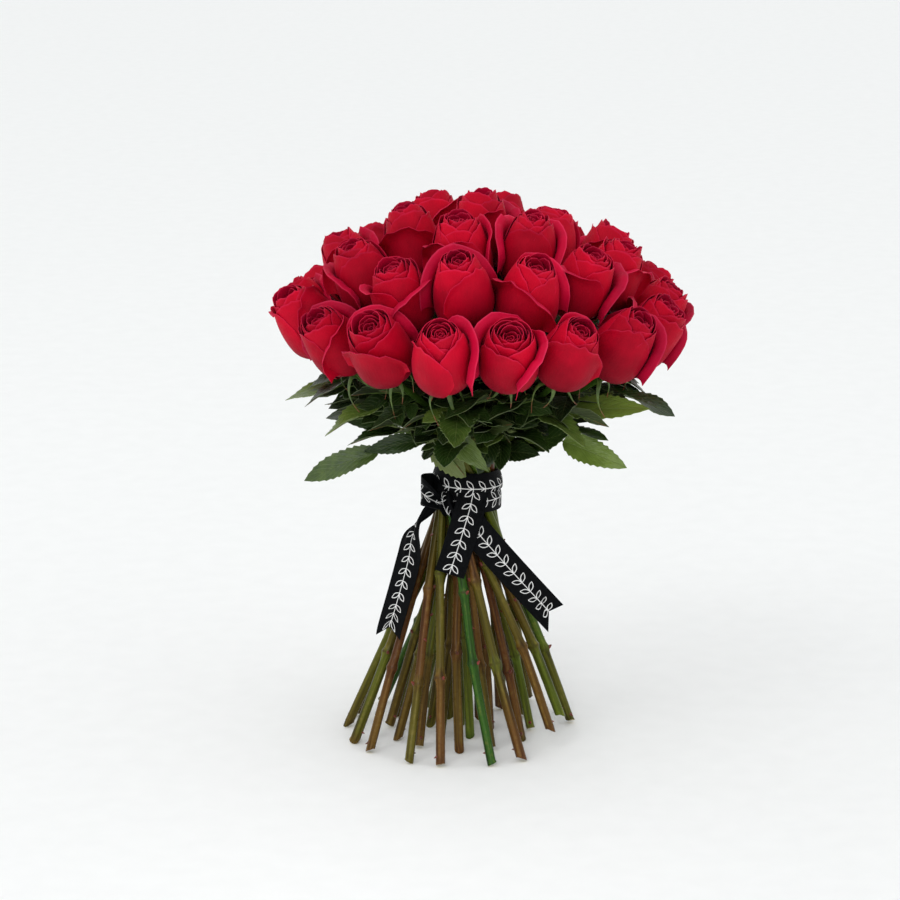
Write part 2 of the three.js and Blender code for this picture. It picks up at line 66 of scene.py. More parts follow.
# ------------------------------------------------------------------------------------------ stems
FOOT_STEM = 3.9  # the stem's radius at its foot, at the neck and under the bloom
NECK_STEM = 3.4
TOP_STEM = 2.7
STEM_TOP = 12  # how far under the bloom's seat the stem ends and the hip begins
STEM_VARIES = 0.08
KNUCKLES = (72, 148)  # heights
KNUCKLE_BEND = 2.2
KNUCKLE_VARIES = 15
KNUCKLE_SWELL = 0.42
KNUCKLE_LENGTH = 3.2
BEND_STEPS = (0.3, 0.65)
HIP = ((9, 3.4), (7.5, 5.0), (5.5, 5.9), (2.5, 5.5), (0.3, 4.6))  # below the bloom's seat, radius
STEM_STEPS = (0, 0.05, 0.12, 0.5, 0.88, 0.95)  # where rings lie between two bends of a stem
STEM_ROWS = 6 * len(STEM_STEPS) + 1 + len(HIP) + 1
STEM_SIDES = 12
CUT_SLOPE = 0.5
BUD = SimpleNamespace(length=4.6, rise=0.9, radii=(2.0, 1.6, 0.9, 0.25))
THORN = SimpleNamespace(length=3.4, rise=-0.25, radii=(1.7, 0.8, 0.4, 0.12))
THORNS_AT = (2, 6, 9, 12, 15)  # rings of the stem
SEPALS = 5
VIVID_STEM = 25

# ---------------------------------------------------------------------------------------- petals
PETALS = 25
PETAL_GRID = (16, 15)
GOLDEN = 2.39996  # the turn from each petal to the next
PETAL_WALL = 0.36
PETAL_BASE = (1.2, 4.6)  # how far out the heart's petals are rooted, and how much more the last
BELLY = 26.5  # how far out the outermost petals swell
HEART_BELLY = 2.2
BELLY_AT = 0.45  # of a petal's length
PETAL_FREE = {0: 1.0, 1: 0.9, 2: 0.45}  # how little holds the last petals, the outermost being 0

# ---------------------------------------------------------------------------------------- leaves
LEAF_WALL = 0.4
FOLD = 17 * DEGREE
TOOTH = 0.13  # of the half width
TEETH = 22  # rows of a big leaf, a tooth at every second
SMALL_TEETH = 10
TERMINAL = SimpleNamespace(length=58, width=30)
LATERAL = SimpleNamespace(length=34, width=20)
LATERAL_ANGLE = 53 * DEGREE
FORK = 13
LOW_LEAF = SimpleNamespace(height=262, stalk=26, rise=18, droop=38)
HIGH_LEAF = SimpleNamespace(height=297, stalk=22, rise=0, droop=26)
LEAF_SEAM = 14
CROWD = {0: 5, 1: 7, 2: 8, 3: 8}  # smaller leaves on a stem of each ring
CROWD_LOWEST = 262
CROWD_HIGHEST = 22  # under the bloom's seat
# How light the stems' own leaves are, and the crowd's: the crowd's lower tone is painted shade inside the
# bunch, under the blooms.
OWN_TONE = 0.5
CROWD_SHADE_TONE = 0.2

# Leaves that stand out at the front. For each: the rose whose stem carries it, at what height; where
# its tip is; which way its upper face looks; by how many degrees it bends down; how long its stalk and
# how wide its blade is; and how light it is, from 0 to 1.
FRONT_LEAVES = (
    (27, 255, (-129.7, -6, 218.8), (-0.2, -0.75, 0.65), 34, 46, 24, 0.5),
    (27, 254, (-80.5, -14, 245.5), (-0.1, -0.75, 0.65), 18, 6, 17, 0.3),
    (27, 283, (-99.1, -14, 271.1), (-0.3, -0.6, 0.75), 36, 4, 31, 0.62),
    (27, 270, (-93.4, -10, 270.0), (-0.2, -0.7, 0.7), 12, 6, 22, 0.35),
    (27, 290, (-88.0, -24, 285.7), (0.2, 0.8, -0.5), 14, 4, 16, 0.85),
    (34, 284, (151.7, -78, 297.4), (0.25, -0.75, 0.6), 12, 20, 29, 1.0),
    (35, 262, (135.7, -50, 241.3), (0.15, -0.9, 0.35), 40, 46, 25, 0.85),
    (34, 250, (93.3, -98, 290.8), (0.1, -0.8, 0.55), -36, 6, 24, 0.4),
    (34, 241, (64.2, -66, 256.3), (0.1, -0.85, 0.4), 14, 5, 20, 0.15),
    (30, 270, (42.2, -108, 292.4), (0.1, 0.9, -0.3), 24, 3, 16, 0.3),
    (29, 288, (22.9, -80, 245.8), (0.35, -0.85, 0.4), 28, 2, 27, 0.66),
    (27, 262, (4.5, -56, 235.3), (0.3, 0.9, -0.3), 22, 2, 32, 0.75),
    (32, 262, (14.2, -62, 239.4), (0.0, -0.9, 0.4), 18, 2, 22, 0.15),
    (33, 258, (32.1, -56, 240.5), (-0.2, -0.9, 0.3), 24, 2, 18, 0.2),
    (27, 250, (-29.8, -40, 245.5), (-0.5, -0.8, 0.3), 10, 1, 17, 0.2),
)

# ---------------------------------------------------------------------------------------- ribbon
RIBBON_WIDTH = 25
RIBBON_WALL = 0.5
PLEATS = 2.5  # across a gathered ribbon
PRINT_PITCH = 10.5
VINE_ROOT = 1.6  # where in each pitch its two leaves set off
VINE_SLOPE = 48 * DEGREE
VINE_LEAF = 8.6
VINE_BELLY = 1.75
OUTLINE_INK = 0.37  # half the thickness of the drawn line round a leaf, and of the vine itself
LINE_INK = 0.35

# ----------------------------------------------------------------------------- studio, in metres
FLOOR_SIZE = 60
FLOOR_DROP = 0.0005
CAMERA_PLACE = (-0.0085, -2.447, 0.863)
CAMERA_TILT = 14.2  # degrees down
CAMERA_LENS = 121.6


def draw(rose, purpose):
    """A draw from -1 to 1 that is the same each time for the same rose and purpose."""
    wave = math.sin(rose * 12.9898 + purpose * 78.233 + 4.1) * 43758.5453
    return 2 * (wave - math.floor(wave)) - 1


def polar(radius, angle, z=0.0):
    return np.array([radius * math.cos(angle), radius * math.sin(angle), z])


def unit(vector):
    return vector / np.linalg.norm(vector, axis=-1, keepdims=True)


def ease(share):
    share = np.clip(share, 0, 1)
    return share * share * (3 - 2 * share)


def between(low, high, share):
    return low + (high - low) * share


# ------------------------------------------------------------------------------ where each rose is
def neck_angles(ring, paired):
    """Where a ring's stems pass the neck: evenly, or two by two."""
    if not paired:
        return [2 * math.pi * j / ring.count for j in range(ring.count)]
    pair = PAIR_GAP / ring.neck
    gap = (2 * math.pi - (ring.count // 2) * pair) / math.ceil(ring.count / 2)
    angles = [0.0]
    for j in range(1, ring.count):
        angles.append(angles[-1] + (pair if j % 2 else gap))
    return angles


def place_roses():
    roses = []
    for number, ring in enumerate(RINGS):
        for j, neck_angle in enumerate(neck_angles(ring, number >= PAIRED_FROM)):
            rose = len(roses)
            turn = ring.turn * DEGREE
            angle = 2 * math.pi * j / ring.count + turn + TURN_VARIES * draw(rose, 1)
            tilt = ring.tilt * DEGREE + TILT_VARIES * draw(rose, 2) if ring.tilt else 0.0
            out = DOME_RADIUS + REACH_VARIES * draw(rose, 4)
            middle = DOME_CENTRE + out * polar(math.sin(tilt), angle, math.cos(tilt))
            nod = ring.nod * DEGREE
            axis = polar(math.sin(nod), angle + LOOK_VARIES * draw(rose, 6), math.cos(nod))
            size = 1 + SIZE_VARIES * draw(rose, 3)
            roses.append(
                SimpleNamespace(
                    rose=rose,
                    ring=number,
                    place=j,
                    axis=axis,
                    size=size,
                    seat=middle - axis * BLOOM_MIDDLE * size,
                    neck=polar(ring.neck, neck_angle + turn + NECK_TURN),
                    foot=SHORT_STEMS.get(j, 0) if number == OUTER else 0,
                )
            )
    return roses


def stem_bends(rose):
    """The places that a stem's middle line goes through, from its foot to its hip."""
    slant = np.array([-rose.neck[1], rose.neck[0], 0]) * FAN
    end = rose.seat - rose.axis * STEM_TOP
    rise = end[2] - NECK_HEIGHT

    def straight(z):
        share = z / NECK_HEIGHT
        place = rose.neck + slant * (1 - share) + np.array([LEAN, 0, 0]) * share
        return np.array([place[0], place[1], z])

    bend = end - straight(end[2])
    knuckles = [
        straight(height + KNUCKLE_VARIES * draw(rose.rose, 10 + k))
        + polar(KNUCKLE_BEND, math.pi * draw(rose.rose, 20 + k))
        for k, height in enumerate(KNUCKLES)
    ]
    above = [straight(NECK_HEIGHT + share * rise) + bend * share**2 for share in BEND_STEPS]
    return np.array([straight(rose.foot), *knuckles, straight(NECK_HEIGHT), *above, end])


def through(points, steps):
    """A smooth line through points, with a place at each of steps between two of them."""
    points = np.asarray(points, float)
    ends = np.vstack([2 * points[0] - points[1], points, 2 * points[-1] - points[-2]])
    line = []
    for a, b, c, d in zip(ends, ends[1:], ends[2:], ends[3:]):
        square = 2 * a - 5 * b + 4 * c - d
        cube = 3 * b - a - 3 * c + d
        for t in steps:
            line.append(0.5 * (2 * b + (c - a) * t + square * t**2 + cube * t**3))
    line.append(points[-1])
    return np.array(line)


# ------------------------------------------------------------------------------------ shapes laid
def laid(name, across, along, lays, finishes, tones=None, wall=None, closed=False, print_length=None):
    """One mesh of as many grids as there are lays, each laid to the places in mm that its function
    gives. tones is one number a grid, which the finish reads. A wall gives the blades a thickness,
    with the second finish on the far side; closed grids are tubes, whose seams and ends are joined."""
    bpy.ops.object.select_all(action="DESELECT")
    bpy.ops.mesh.primitive_grid_add(x_subdivisions=across, y_subdivisions=along, size=1)
    piece = bpy.context.object
    piece.name = piece.data.name = name
    flat = np.empty(len(piece.data.vertices) * 3)
    piece.data.vertices.foreach_get("co", flat)
    way_across, way_along = flat.reshape(-1, 3)[:, 0] * 2, flat.reshape(-1, 3)[:, 1] + 0.5
    if len(lays) > 1:
        piece.modifiers.new("repeats", "ARRAY").count = len(lays)
        bpy.ops.object.modifier_apply(modifier="repeats")
    places = np.concatenate([lay(way_across, way_along) for lay in lays])
    mesh = piece.data
    mesh.vertices.foreach_set("co", (places * MM).ravel())
    if print_length:
        uv = np.empty(len(mesh.loops) * 2)
        mesh.uv_layers.active.data.foreach_get("uv", uv)
        uv[1::2] *= print_length / PRINT_PITCH
        mesh.uv_layers.active.data.foreach_set("uv", uv)
    tone = mesh.attributes.new("tone", "FLOAT", "POINT")
    tones = tones if tones is not None else [0.5] * len(lays)
    tone.data.foreach_set("value", np.repeat(np.asarray(tones, float), len(way_across)))
    for finish in finishes:
        mesh.materials.append(finish)
    if closed:
        bpy.ops.object.mode_set(mode="EDIT")
        bpy.ops.mesh.select_all(action="SELECT")
        bpy.ops.mesh.remove_doubles(threshold=0.00001)
        bpy.ops.mesh.normals_make_consistent(inside=False)
        bpy.ops.object.mode_set(mode="OBJECT")
    if wall:
        thick = piece.modifiers.new("wall", "SOLIDIFY")
        thick.thickness = wall * MM
        thick.offset = 0
        thick.material_offset = 1 if len(finishes) > 1 else 0
        bpy.ops.object.modifier_apply(modifier="wall")
    bpy.ops.object.shade_smooth_by_angle(angle=50 * DEGREE)
    return piece


def together(name, pieces):
    """One piece of several."""
    bpy.ops.object.select_all(action="DESELECT")
    for piece in pieces:
        piece.select_set(True)
    bpy.context.view_layer.objects.active = pieces[0]
    if len(pieces) > 1:
        bpy.ops.object.join()
    piece = bpy.context.object
    piece.name = piece.data.name = name
    return piece


def tube(path, radii, cut=None, strands=0.0):
    """A closed tube along path. cut is the way that its start is cut off aslant."""
    path, radii = np.asarray(path, float), np.asarray(radii, float)
    ahead = unit(np.gradient(path, axis=0))
    side = np.empty_like(path)
    start = np.cross(ahead[0], UP if abs(ahead[0][2]) < 0.9 else np.array([0.0, 1.0, 0.0]))
    for i, way in enumerate(ahead):
        start = start - way * start.dot(way)
        side[i] = start = start / np.linalg.norm(start)
    other = np.cross(ahead, side)
    rows = [0, *range(len(path)), len(path) - 1]
    reach = np.array([0, *radii, 0])

    def lay(way_across, way_along):
        row = np.rint(way_along * (len(rows) - 1)).astype(int)
        angle = np.pi * np.where(way_across > 0.999, -1, way_across)
        at = np.array(rows)[row]
        out = reach[row] * (1 + strands * np.abs(np.cos(1.5 * (angle + 0.9 * row))))
        offset = out[:, None] * (np.cos(angle)[:, None] * side[at] + np.sin(angle)[:, None] * other[at])
        place = path[at] + offset
        if cut is not None:
            slope = CUT_SLOPE * (radii[0] + offset @ cut)
            place[:, 2] = np.where(row <= 1, path[0][2] + slope, place[:, 2])
        return place

    return lay


# ----------------------------------------------------------------------------------------- blooms
def petal(rose, k, look):
    """Petal k of a rose, counted from the heart out. It rises from the seat, bellies out, leans in
    again to the mouth of the bloom, and turns back at its rim, most of all at its two sides."""
    share = k / (PETALS - 1)

    def vary(purpose):
        return draw(rose.rose * 37 + k, purpose)

    base = PETAL_BASE[0] + PETAL_BASE[1] * share
    belly = HEART_BELLY + (BELLY - HEART_BELLY) * share**0.82 * look.stout
    outside = PETALS - 1 - k
    last = outside == 0
    free = PETAL_FREE.get(outside, 0.0)
    mouth = 1.4 + (13.4 + 8 * look.openness) * share**1.1 + 0.35 * share * vary(4)
    mouth += 3 * free * look.openness * look.slack
    half = (2.1 - 0.78 * ease(share * 2)) * (1 + 0.08 * vary(1))
    length = (53 + 13 * ease(share * 1.5)) * (1 + 0.03 * vary(2)) - 3 * look.openness * share**4
    length -= 7 * look.deep * (1 - share) ** 2
    turn = k * GOLDEN + 0.3 * vary(3) + SPIN * rose.rose
    lean = (belly - mouth) / ((1 - BELLY_AT) ** 2 * (belly + 3))
    loose = outside < 2 and vary(7) > 0.3 - 1.1 * look.openness  # it folds right back
    roll = 0.1 + 0.35 * share + free * (0.9 * look.openness + 0.3 * vary(5)) + (1.2 if loose else 0)
    band = 3 + 2 * share + 4 * free + (6 if loose else 0)
    sides = (1.0 if outside < 2 else 0.0, 1.0 if last else 0.0)  # a covered side stays flat
    hand = 0.6 * vary(8)
    shoulder = 0.86 - 0.34 * share
    point = (0.012 * share + 0.034 * free) * (1 + vary(11)) * (0.4 if loose else 1)
    steps = 30
    side = unit(np.cross(np.array([0.0, 1.0, 0.0]), rose.axis))
    other = np.cross(rose.axis, side)

    def lay(way_across, way_along):
        across = np.sin(1.4 * way_across) / math.sin(1.4)
        aside = across * (1 + hand * (1 - across**2) * 0.4)
        top = shoulder + (1 - shoulder) * np.sqrt(np.clip(1 - np.abs(aside) ** 2.7, 0, 1))
        top = top + point * np.clip(1 - np.abs(aside) / 0.5, 0, 1) ** 1.5
        ragged = np.sin(14 * across + 9 * vary(12)) + 0.7 * np.sin(25 * across + 9 * vary(13))
        top = length * (top + (0.006 + 0.009 * free) * ragged)
        turned = roll * between(0.7, np.where(aside < 0, *sides), ease(np.abs(aside) / 0.8))
        radius = np.full_like(across, base)
        height = np.full_like(across, 3.5 * (1 - share))
        step = way_along * top / steps
        for i in range(steps):
            along = (i + 0.5) * step
            part = along / length
            swell = np.where(part < BELLY_AT, 2 * (1 - part / BELLY_AT) / BELLY_AT, 0)
            fall = np.where(part > BELLY_AT, 2 * (part - BELLY_AT), 0)
            swell = swell * (belly - base) / length
            fall = fall * lean * (belly + 3) / length
            angle = np.arcsin(np.clip(swell - fall, -0.9, 0.985))
            angle = angle + turned * ease((along - (top - band)) / band) ** 1.5
            radius = radius + step * np.sin(angle)
            height = height + step * np.cos(angle)
        part = way_along * top / length
        tuck = 0.14 * max(0, 0.25 - share) * belly * np.sign(across) * np.abs(across) ** 1.5
        radius = radius - tuck * ease(part / 0.4)
        wave = np.sin(3.6 * across + 2 * np.pi * vary(6)) + last
        deep = 0.1 + (0.8 if last else 0.3 * free)
        radius = radius + deep * wave * ease((way_along - 0.6) / 0.4)
        aloof = 2 * look.openness * last
        radius = radius + aloof * np.abs(across) ** 4 * ease((part - 0.3) / 0.4)
        radius = np.maximum(radius, 0.25) * rose.size
        angle = turn + across * half * (0.4 + 0.6 * ease(part / 0.6))
        return (
            rose.seat
            + (radius * np.cos(angle))[:, None] * side
            + (radius * np.sin(angle))[:, None] * other
            + (height * rose.size)[:, None] * rose.axis
        )

    return lay


def bloom(rose, name, finishes):
    look = SimpleNamespace(
        openness=0.58 + 0.36 * draw(rose.rose, 60),
        deep=max(0, draw(rose.rose, 65)),  # how far the heart lies below the rim
        stout=1 + 0.05 * draw(rose.rose, 66),
        slack=1 + draw(rose.rose, 67),  # how far the last petals stand off
    )
    petals = [petal(rose, k, look) for k in range(PETALS)]
    own = 0.5 + 0.2 * draw(rose.rose, 61)
    tones = [own + 0.3 * draw(rose.rose * 37 + k, 9) for k in range(PETALS)]
    return laid(name, *PETAL_GRID, petals, finishes, tones, wall=PETAL_WALL)


# ------------------------------------------------------------------------------------------ stems
def stem_radius(rose, place, top):
    stout = 1 + STEM_VARIES * draw(rose.rose, 5)
    if place[2] < NECK_HEIGHT:
        return between(FOOT_STEM * stout, NECK_STEM, place[2] / NECK_HEIGHT)
    return between(NECK_STEM, TOP_STEM, (place[2] - NECK_HEIGHT) / (top - NECK_HEIGHT))


def stem(rose):
    bends = stem_bends(rose)
    line = through(bends, STEM_STEPS)
    radii = np.array([stem_radius(rose, place, line[-1][2]) for place in line])
    for knuckle in bends[1:3]:
        away = np.linalg.norm(line - knuckle, axis=1)
        radii *= 1 + KNUCKLE_SWELL * np.exp(-((away / KNUCKLE_LENGTH) ** 2))
    hip = [rose.seat - rose.axis * below for below, _ in HIP]
    line = np.vstack([line, hip])
    radii = np.append(radii, [radius for _, radius in HIP])
    return tube(line, radii, cut=polar(1, math.pi * draw(rose.rose, 62)))


def thorns(rose):
    """Buds at the knuckles, and a few thorns between them."""
    line = through(stem_bends(rose)[:4], STEM_STEPS)
    lays = []
    for k, at in enumerate(THORNS_AT):
        angle = math.pi * draw(rose.rose, 70 + k)
        sort = BUD if at % len(STEM_STEPS) == 0 else THORN
        way = unit(polar(1, angle, sort.rise))
        start = line[at] + polar(3.0, angle)
        path = [start + way * sort.length * share for share in (0, 0.45, 0.8, 1)]
        lays.append(tube(path, sort.radii))
    return lays


def sepal(start, aside, length, curl, first, last):
    """A sepal that sets off from start along first, bends to last and curls aside."""
    steps = 16

    def lay(way_across, way_along):
        place = np.tile(start, (len(way_along), 1))
        for i in range(steps):
            part = way_along * (i + 0.5) / steps
            way = between(first, last, ease(part * 1.5)[:, None])
            way = unit(way + curl * (ease(part * 1.3 - 0.2) * part)[:, None] * aside)
            place = place + way * (way_along * length / steps)[:, None]
        half = 2.2 * (1 - way_along) ** 1.5 + 0.35 * (1 - way_along) + 0.07
        face = unit(np.cross(np.broadcast_to(aside, way.shape), way))
        lift = 0.45 * half * way_across**2
        return place + (half * way_across)[:, None] * aside + face * lift[:, None]

    return lay


def sepals(rose):
    """Five thin sepals that reach out from the hip and fall."""
    lays = []
    side = unit(np.cross(np.array([0.0, 1.0, 0.0]), rose.axis))
    other = np.cross(rose.axis, side)
    for k in range(SEPALS):
        angle = 2 * math.pi * (k + 0.12 * draw(rose.rose, 30 + k)) / SEPALS
        out = math.cos(angle) * side + math.sin(angle) * other
        length = (27 if rose.ring == OUTER else 24) * (1 + 0.45 * draw(rose.rose, 40 + k))
        curl = 1.6 * draw(rose.rose, 80 + k)
        first = unit(out - (0.5 + 0.7 * draw(rose.rose, 95 + k)) * rose.axis)
        last = unit((0.2 + 0.5 * draw(rose.rose, 75 + k)) * out - 0.8 * rose.axis - 0.9 * UP)
        start = rose.seat - rose.axis * 2.6 + out * 3.4
        lays.append(sepal(start, np.cross(rose.axis, out), length, curl, first, last))
    return lays


# ----------------------------------------------------------------------------------------- leaves
def arch(base, heading, normal, whole, droop, reach):
    """Where a leaf's rib is at each reach, and the way that its upper face looks there."""
    lean = (droop * reach / whole)[:, None]
    reach = reach[:, None]
    place = base + heading * reach * np.cos(lean / 2) - normal * reach * np.sin(lean / 2)
    return place, normal * np.cos(lean) + heading * np.sin(lean)


def rolled(side, face, roll):
    """A blade's way across and the way that it faces, rolled about its rib."""
    return side * math.cos(roll) - face * math.sin(roll), face * math.cos(roll) + side * math.sin(roll)


def blade(base, heading, normal, size, droop, stalk, rows, phase, roll=0.0):
    """A toothed blade, folded along its rib, that begins stalk away from base."""
    whole = stalk + size.length
    twist = 0.4 * math.sin(5.3 * phase + 1.7)

    def lay(way_across, way_along):
        row = np.rint(way_along * rows).astype(int)
        rim = np.abs(way_across) > 0.99
        notch = rim & (row % 2 == 1)
        share = way_along - np.where(notch, 0.4 / rows, 0)
        swell = np.sin(np.pi * np.clip(share, 0, 1) ** 0.72) ** 0.8
        half = size.width / 2 * swell * np.where(notch, 1 - TOOTH, 1) + 0.35 * (1 - way_along)
        place, face = arch(base, heading, normal, whole, droop, stalk + size.length * share)
        side, face = rolled(np.cross(heading, normal), face, roll)
        fold = FOLD * (1.2 - 0.9 * way_along)
        spread = half * way_across
        ripple = np.sin(7 * way_along + phase + 1.5 * np.sign(way_across)) * way_across**2 * swell
        lift = np.abs(spread) * np.sin(fold) + 0.09 * size.width * ripple + twist * spread * way_along
        return place + side * (spread * np.cos(fold))[:, None] + face * lift[:, None]

    return lay


def rib(base, heading, normal, whole, droop, thick):
    """The stalk and rib under a blade, which thins to its tip."""
    reach = np.array([0, 0.15, 0.35, 0.55, 0.75, 0.96]) * whole
    place, face = arch(base, heading, normal, whole, droop, reach)
    return tube(place - face * 0.3, thick * np.array([1.0, 0.95, 0.8, 0.55, 0.4, 0.2]))


def scaled(size, scale):
    return SimpleNamespace(length=size.length * scale, width=size.width * scale)


def leaf(root, heading, normal, stalk, droop, end, wing, pairs, rows, phase, roll=0.0):
    """A leaf of an end leaflet and pairs of side ones on its stalk: its blades, and their ribs."""
    blades = [blade(root, heading, normal, end, droop, stalk, rows, phase, roll)]
    ribs = [rib(root, heading, normal, stalk + end.length, droop, end.width / TERMINAL.width)]
    for pair in range(pairs):
        reach = stalk - FORK * end.length / TERMINAL.length * (1 + 1.15 * pair)
        if reach < 2:
            break
        (fork,), (face,) = arch(root, heading, normal, stalk + end.length, droop, np.array([reach]))
        side, face = rolled(np.cross(heading, normal), face, roll)
        ahead = np.cross(face, side)
        small = scaled(wing, 1 - 0.25 * pair)
        for hand in (1, -1):
            away = ahead * math.cos(LATERAL_ANGLE) + side * hand * math.sin(LATERAL_ANGLE)
            blades.append(blade(fork, away, face, small, droop * 0.7, 1.0, rows, phase + hand))
            thick = 0.9 * small.width / TERMINAL.width
            ribs.append(rib(fork, away, face, small.length, droop * 0.7, thick))
    return blades, ribs


def headings(way, rise):
    """Which way a stalk sets off, and which way its leaf's upper face looks there."""
    return polar(math.cos(rise), way, math.sin(rise)), polar(-math.sin(rise), way, math.cos(rise))


def root_at(rose, height):
    """Where a leaf at this height grows from the stem."""
    line = through(stem_bends(rose), np.linspace(0, 1, 12, endpoint=False))
    return line[np.argmax(line[:, 2] > height)]


def own_leaf(rose):
    """The leaf that the solid model has on this stem, if it has one."""
    turn = (rose.place + LEAF_SEAM) % RINGS[rose.ring].count
    if rose.ring != OUTER or turn == RINGS[OUTER].count - 1:
        return [], []
    kind = HIGH_LEAF if turn % 2 else LOW_LEAF
    root = root_at(rose, kind.height + 5 * draw(rose.rose, 50))
    outward = math.atan2(root[1], root[0] - LEAN) + 3.4 * DEGREE * draw(rose.rose, 51)
    heading, normal = headings(outward, (kind.rise + 5 * draw(rose.rose, 52)) * DEGREE)
    droop = kind.droop * DEGREE
    return leaf(root, heading, normal, kind.stalk, droop, TERMINAL, LATERAL, 2, TEETH, rose.rose)


def crowd_leaves(rose):
    """The crowd of smaller leaves that fills the space under the blooms."""
    blades, ribs = [], []
    count = CROWD[rose.ring]
    for k in range(count):
        share = (k + 0.5 + 0.4 * draw(rose.rose, 90 + k)) / count
        height = between(CROWD_LOWEST, rose.seat[2] - CROWD_HIGHEST, share)
        root = root_at(rose, height)
        spread = 1.2 + 1.4 * share if rose.ring > 1 else 3.1
        way = math.atan2(root[1], root[0] - LEAN) + spread * draw(rose.rose, 100 + k)
        droop = 34 + 18 * draw(rose.rose, 110 + k)
        rise = between(16, -16, share) + 10 * draw(rose.rose, 120 + k) + droop / 2
        heading, normal = headings(way, rise * DEGREE)
        scale = (0.95 + 0.17 * draw(rose.rose, 130 + k)) * between(0.72, 1, ease(share * 3))
        scale *= 1 - 0.3 * share
        stalk = 14 + 4 * draw(rose.rose, 140 + k)
        roll = 0.6 * draw(rose.rose, 125 + k)
        some = leaf(
            root, heading, normal, stalk, droop * DEGREE,
            scaled(TERMINAL, scale), scaled(LATERAL, scale), 1, SMALL_TEETH, k + rose.rose, roll,
        )
        blades += some[0]
        ribs += some[1]
    return blades, ribs


def front_leaves(rose):
    """This stem's leaves that stand out at the front, and how light each of their blades is."""
    blades, ribs, tones = [], [], []
    for number, height, tip, looks, droop, stalk, width, tone in FRONT_LEAVES:
        if number == rose.rose:
            root = root_at(rose, height)
            straight = np.array(tip) - root
            reach = np.linalg.norm(straight)
            straight = straight / reach
            face = unit(np.array(looks) - straight * straight.dot(looks))
            bend = droop * DEGREE / 2
            heading = straight * math.cos(bend) + face * math.sin(bend)
            normal = face * math.cos(bend) - straight * math.sin(bend)
            end = SimpleNamespace(length=reach - stalk, width=width)
            some = leaf(root, heading, normal, stalk, 2 * bend, end, end, 0, TEETH, reach)
            blades += some[0]
            ribs += some[1]
            tones += [tone] * len(some[0])
    return blades, ribs, tones


def greens(roses, name, finishes):
    """The stems of some roses with all that grows on them but the blooms."""
    pieces = [
        laid(name, STEM_SIDES, STEM_ROWS, [stem(rose) for rose in roses],
             [finishes.bark], [stem_tone(rose) for rose in roses], closed=True),
        laid("thorns", 6, 5, [lay for rose in roses for lay in thorns(rose)], [finishes.thorn],
             [stem_tone(rose) for rose in roses for _ in THORNS_AT], closed=True),
        laid("sepals", 2, 14, [lay for rose in roses for lay in sepals(rose)], [finishes.sepal], wall=0.5),
    ]
    big, small = ([], [], []), ([], [], [])
    for rose in roses:
        for sorts, some, tone in (
            (big, own_leaf(rose), OWN_TONE),
            # the crowd's darker tone is painted shade inside the bunch
            (small, crowd_leaves(rose), CROWD_SHADE_TONE),
        ):
            sorts[0].extend(some[0])
            sorts[1].extend(some[1])
            sorts[2].extend(tone + 0.22 * draw(rose.rose * 11 + i, 63) for i in range(len(some[0])))
        for rows, more in zip(big, front_leaves(rose)):
            rows.extend(more)
    faces = [finishes.leaf, finishes.underside]
    for (blades, ribs, tones), across, rows in ((big, 6, TEETH), (small, 4, SMALL_TEETH)):
        if blades:
            pieces.append(laid("blades", across, rows, blades, faces, tones, wall=LEAF_WALL))
            pieces.append(laid("ribs", 6, 7, ribs, [finishes.sepal], closed=True))
    return together(name, pieces)


def stem_tone(rose):
    """How green a stem is, from 0, brown, to 1; the vivid one is past it. The inner rings' stems get lower,
    darker tones: painted shade inside the bunch.
    """
    if rose.rose == VIVID_STEM:
        return 1.4
    # painted shade: the inner rings' stems are darker, where the bunch shades them
    if rose.ring < OUTER:
        return 0.4 + 0.3 * draw(rose.rose, 64)
    return 0.5 + 0.4 * draw(rose.rose, 64)


# ---------------------------------------------------------------------------------- ribbon, twine
def band(points, sides, gathers, notch=0.0, longer=0.0, hug=0.0, steps=6):
    """A length of ribbon along points, its width along sides. Where it is gathered it is pleated, its
    start hugs the neck, and its end is cut straight or to a swallow tail with one tip longer."""
    line = through(points, np.arange(steps) / steps)
    if len(sides) == 1:
        sides = list(sides) * len(points)
    widths = through(sides, np.arange(steps) / steps)
    share = np.linspace(0, 1, len(line))
    gathers = [*gathers, *[1] * (len(points) - len(gathers))]
    gather = np.interp(share * (len(points) - 1), np.arange(len(points)), gathers)
    ahead = unit(np.gradient(line, axis=0))
    across = unit(widths - ahead * np.sum(widths * ahead, axis=1, keepdims=True))
    face = np.cross(across, ahead)
    run = np.append(0, np.cumsum(np.linalg.norm(np.diff(line, axis=0), axis=1)))

    def lay(way_across, way_along):
        at = np.interp(way_along * run[-1], run, np.arange(len(line)))
        low = np.minimum(at.astype(int), len(line) - 2)
        part = (at - low)[:, None]

        def here(rows):
            return between(rows[low], rows[low + 1], part)

        tight = np.interp(at / (len(line) - 1), share, gather)
        spread = RIBBON_WIDTH / 2 * tight * way_across
        deep = RIBBON_WIDTH * tight * np.sqrt(np.clip(1 / tight**2 - 1, 0, 4)) / (np.pi * PLEATS)
        fold = deep * np.cos(np.pi * PLEATS * way_across) * 0.8
        fold = fold + hug * way_across**2 * (1 - ease(way_along * 4))
        cut = (notch * (1 - np.abs(way_across)) - longer * way_across) * ease(way_along * 4 - 3)
        return (
            here(line)
            + here(across) * spread[:, None]
            + here(face) * fold[:, None]
            - here(ahead) * cut[:, None]
        )

    return lay, run[-1]


